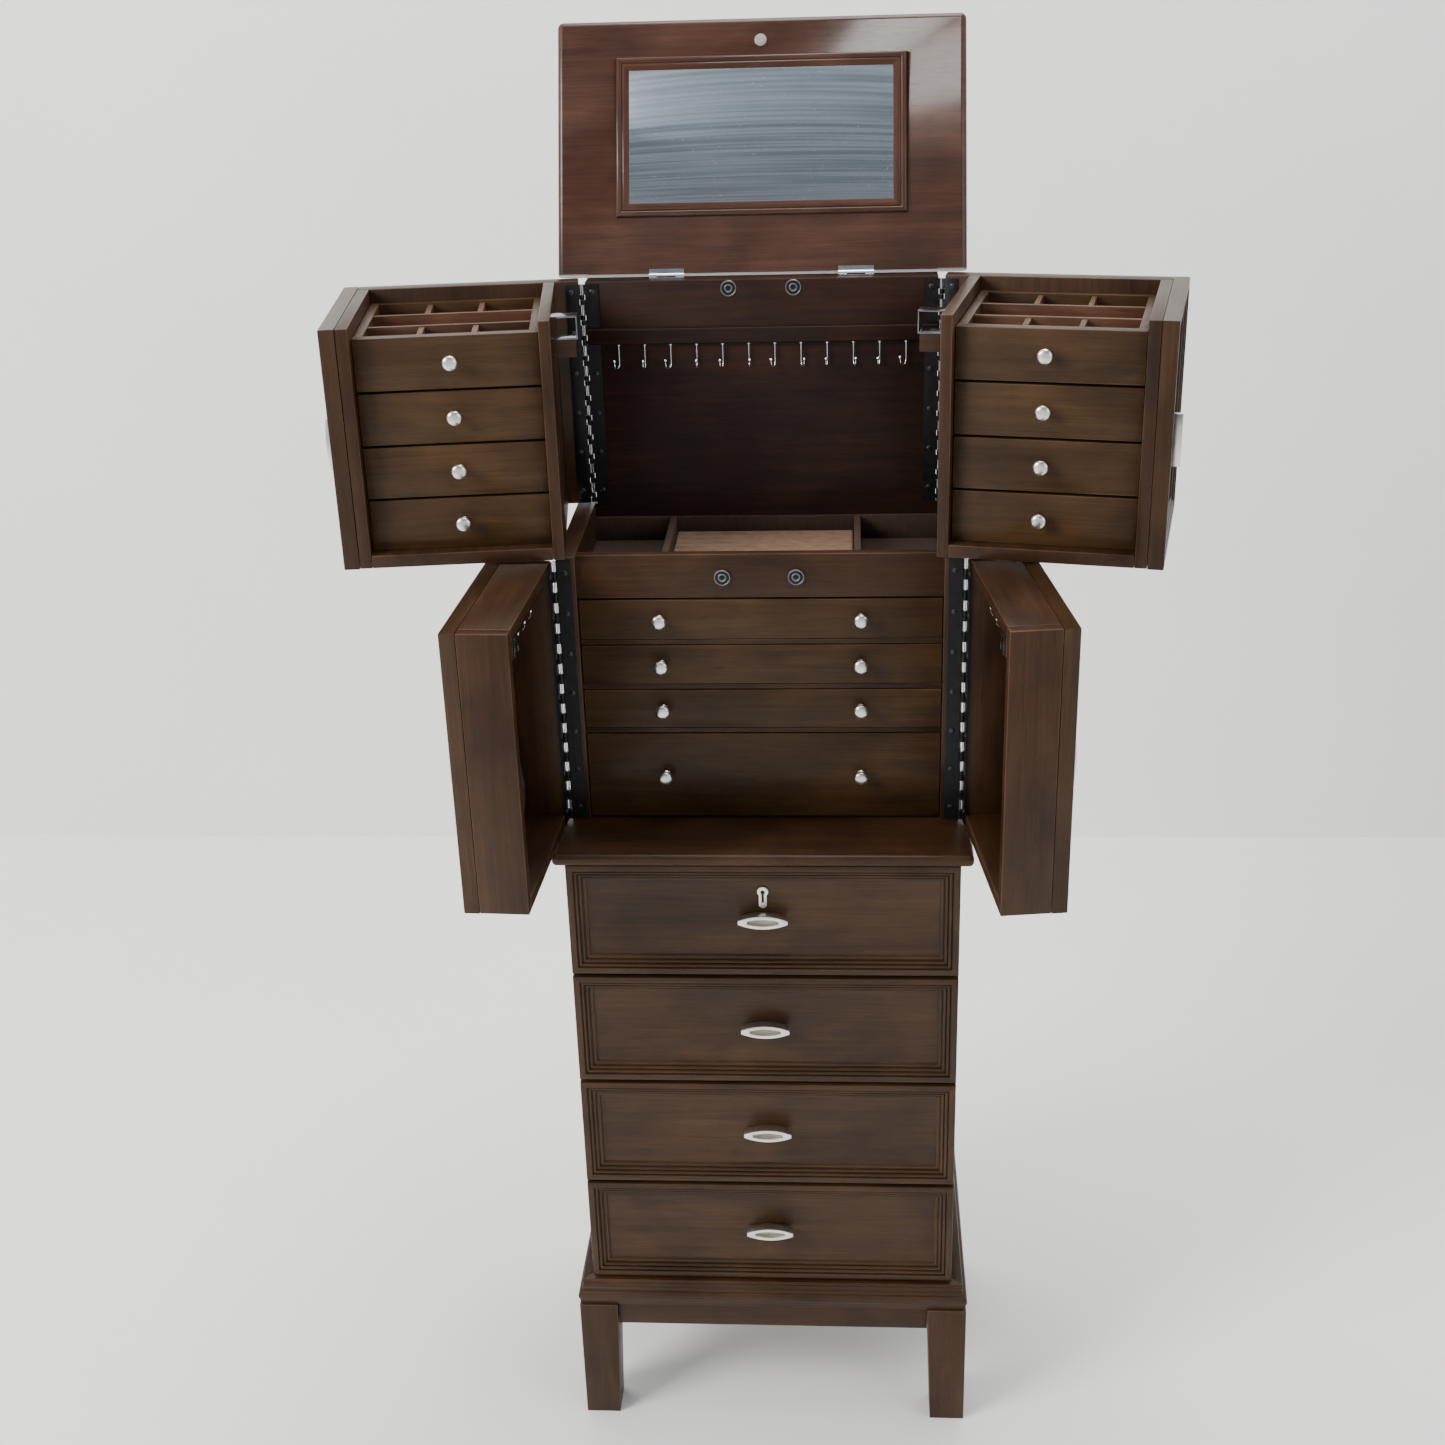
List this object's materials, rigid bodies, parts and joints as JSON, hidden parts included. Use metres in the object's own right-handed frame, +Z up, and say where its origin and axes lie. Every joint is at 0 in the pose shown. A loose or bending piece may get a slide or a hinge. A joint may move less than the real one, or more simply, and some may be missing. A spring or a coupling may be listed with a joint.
{
  "type": "jewelry armoire",
  "caption": "Tall narrow armoire on legs with large drawers, drawer-box doors that swing open around a hook panel and ring tray, and a mirrored lift-up lid.",
  "frame": {"origin": "on the floor, under the middle of the opened armoire's outline", "axes": "+Z up, -Y towards the person using it (the large drawers slide out that way), +X to that person's right"},
  "size_m": [0.8051, 0.4841, 1.4166],
  "materials": {
    "dark_wood": "satin espresso-stained hardwood",
    "inside_wood": "satin stained wood, slightly redder, inside the cases",
    "felt": "brown felt lining",
    "roll_felt": "tan and brown ring-roll cloth",
    "pocket_cloth": "dark cloth pocket",
    "silvered_glass": "silvered mirror",
    "satin_nickel": "satin nickel",
    "bright_metal": "bright chrome",
    "black_metal": "black lacquered steel",
    "magnet": "grey magnet discs",
    "soft_pad": "soft bumper"
  },
  "bodies": {
    "carcass": {"stand": "dark_wood", "base_moulding": "dark_wood", "lower_case": "dark_wood", "ledge_board": "dark_wood", "middle_case": "dark_wood", "tray_liner": "felt", "ring_rolls": "roll_felt", "back_panel": "inside_wood", "hook_bar": "inside_wood", "necklace_hooks": "bright_metal", "catch_magnets": "magnet", "fixed_hinge_leaves": "black_metal", "lid_hinge_fixed_leaves": "bright_metal"},
    "lid": {"lid_panel": "dark_wood", "mirror_frame": "dark_wood", "mirror_glass": "silvered_glass", "lid_bumper": "soft_pad", "lid_hinge_moving_leaves": "bright_metal"},
    "upper_left_box": {"upper_left_case": "dark_wood", "upper_left_face": "dark_wood", "upper_left_pull": "satin_nickel", "upper_left_hinge_and_strike": "black_metal"},
    "upper_left_drawer_1": {"upper_left_drawer_1": "dark_wood"},
    "upper_left_drawer_2": {"upper_left_drawer_2": "dark_wood"},
    "upper_left_drawer_3": {"upper_left_drawer_3": "dark_wood"},
    "upper_left_drawer_4": {"upper_left_drawer_4": "dark_wood"},
    "upper_right_box": {"upper_right_case": "dark_wood", "upper_right_face": "dark_wood", "upper_right_pull": "satin_nickel", "upper_right_hinge_and_strike": "black_metal"},
    "upper_right_drawer_1": {"upper_right_drawer_1": "dark_wood"},
    "upper_right_drawer_2": {"upper_right_drawer_2": "dark_wood"},
    "upper_right_drawer_3": {"upper_right_drawer_3": "dark_wood"},
    "upper_right_drawer_4": {"upper_right_drawer_4": "dark_wood"},
    "lower_left_door": {"lower_left_case": "dark_wood", "lower_left_face": "dark_wood", "lower_left_pull": "satin_nickel", "lower_left_hinge_and_strike": "black_metal", "lower_left_hooks": "bright_metal", "lower_left_pocket": "pocket_cloth"},
    "lower_right_door": {"lower_right_case": "dark_wood", "lower_right_face": "dark_wood", "lower_right_pull": "satin_nickel", "lower_right_hinge_and_strike": "black_metal", "lower_right_hooks": "bright_metal", "lower_right_pocket": "pocket_cloth"},
    "middle_drawer_1": {"middle_drawer_1": "dark_wood"},
    "middle_drawer_2": {"middle_drawer_2": "dark_wood"},
    "middle_drawer_3": {"middle_drawer_3": "dark_wood"},
    "middle_drawer_4": {"middle_drawer_4": "dark_wood"},
    "large_drawer_1": {"large_drawer_1": "dark_wood", "large_drawer_1_pull": "satin_nickel", "keyhole_escutcheon": "satin_nickel"},
    "large_drawer_2": {"large_drawer_2": "dark_wood", "large_drawer_2_pull": "satin_nickel"},
    "large_drawer_3": {"large_drawer_3": "dark_wood", "large_drawer_3_pull": "satin_nickel"},
    "large_drawer_4": {"large_drawer_4": "dark_wood", "large_drawer_4_pull": "satin_nickel"},
    "lock_bolt": {"lock_bolt": "satin_nickel"}
  },
  "joints": [
    {"name": "lid_hinge", "type": "hinge", "parent": "carcass", "child": "lid", "pos_m": [0, 0.129, 1.1916], "axis": [-1, 0, 0], "range_deg": [-114, 0]},
    {"name": "upper_left_hinge", "type": "hinge", "parent": "carcass", "child": "upper_left_box", "pos_m": [-0.173, 0.1139, 1.079], "axis": [0, 0, -1], "range_deg": [-83.5, 16.5]},
    {"name": "upper_left_drawer_1_slide", "type": "slide", "parent": "upper_left_box", "child": "upper_left_drawer_1", "axis": [0.1132, -0.9936, 0], "range_m": [0, 0.1]},
    {"name": "upper_left_drawer_2_slide", "type": "slide", "parent": "upper_left_box", "child": "upper_left_drawer_2", "axis": [0.1132, -0.9936, 0], "range_m": [0, 0.1]},
    {"name": "upper_left_drawer_3_slide", "type": "slide", "parent": "upper_left_box", "child": "upper_left_drawer_3", "axis": [0.1132, -0.9936, 0], "range_m": [0, 0.1]},
    {"name": "upper_left_drawer_4_slide", "type": "slide", "parent": "upper_left_box", "child": "upper_left_drawer_4", "axis": [0.1132, -0.9936, 0], "range_m": [0, 0.1]},
    {"name": "upper_right_hinge", "type": "hinge", "parent": "carcass", "child": "upper_right_box", "pos_m": [0.173, 0.1139, 1.079], "axis": [0, 0, 1], "range_deg": [-78.5, 21.5]},
    {"name": "upper_right_drawer_1_slide", "type": "slide", "parent": "upper_right_box", "child": "upper_right_drawer_1", "axis": [-0.1994, -0.9799, 0], "range_m": [0, 0.1]},
    {"name": "upper_right_drawer_2_slide", "type": "slide", "parent": "upper_right_box", "child": "upper_right_drawer_2", "axis": [-0.1994, -0.9799, 0], "range_m": [0, 0.1]},
    {"name": "upper_right_drawer_3_slide", "type": "slide", "parent": "upper_right_box", "child": "upper_right_drawer_3", "axis": [-0.1994, -0.9799, 0], "range_m": [0, 0.1]},
    {"name": "upper_right_drawer_4_slide", "type": "slide", "parent": "upper_right_box", "child": "upper_right_drawer_4", "axis": [-0.1994, -0.9799, 0], "range_m": [0, 0.1]},
    {"name": "lower_left_hinge", "type": "hinge", "parent": "carcass", "child": "lower_left_door", "pos_m": [-0.192, -0.0505, 0.8285], "axis": [0, 0, -1], "range_deg": [-93, 27]},
    {"name": "lower_right_hinge", "type": "hinge", "parent": "carcass", "child": "lower_right_door", "pos_m": [0.192, -0.0505, 0.8285], "axis": [0, 0, 1], "range_deg": [-97, 23]},
    {"name": "middle_drawer_1_slide", "type": "slide", "parent": "carcass", "child": "middle_drawer_1", "axis": [0, -1, 0], "range_m": [0, 0.11]},
    {"name": "middle_drawer_2_slide", "type": "slide", "parent": "carcass", "child": "middle_drawer_2", "axis": [0, -1, 0], "range_m": [0, 0.11]},
    {"name": "middle_drawer_3_slide", "type": "slide", "parent": "carcass", "child": "middle_drawer_3", "axis": [0, -1, 0], "range_m": [0, 0.11]},
    {"name": "middle_drawer_4_slide", "type": "slide", "parent": "carcass", "child": "middle_drawer_4", "axis": [0, -1, 0], "range_m": [0, 0.11]},
    {"name": "large_drawer_1_slide", "type": "slide", "parent": "carcass", "child": "large_drawer_1", "axis": [0, -1, 0], "range_m": [0, 0.17]},
    {"name": "large_drawer_2_slide", "type": "slide", "parent": "carcass", "child": "large_drawer_2", "axis": [0, -1, 0], "range_m": [0, 0.17]},
    {"name": "large_drawer_3_slide", "type": "slide", "parent": "carcass", "child": "large_drawer_3", "axis": [0, -1, 0], "range_m": [0, 0.17]},
    {"name": "large_drawer_4_slide", "type": "slide", "parent": "carcass", "child": "large_drawer_4", "axis": [0, -1, 0], "range_m": [0, 0.17]},
    {"name": "lock_bolt_slide", "type": "slide", "parent": "large_drawer_1", "child": "lock_bolt", "axis": [0, 0, 1], "range_m": [0, 0.005]}
  ]
}
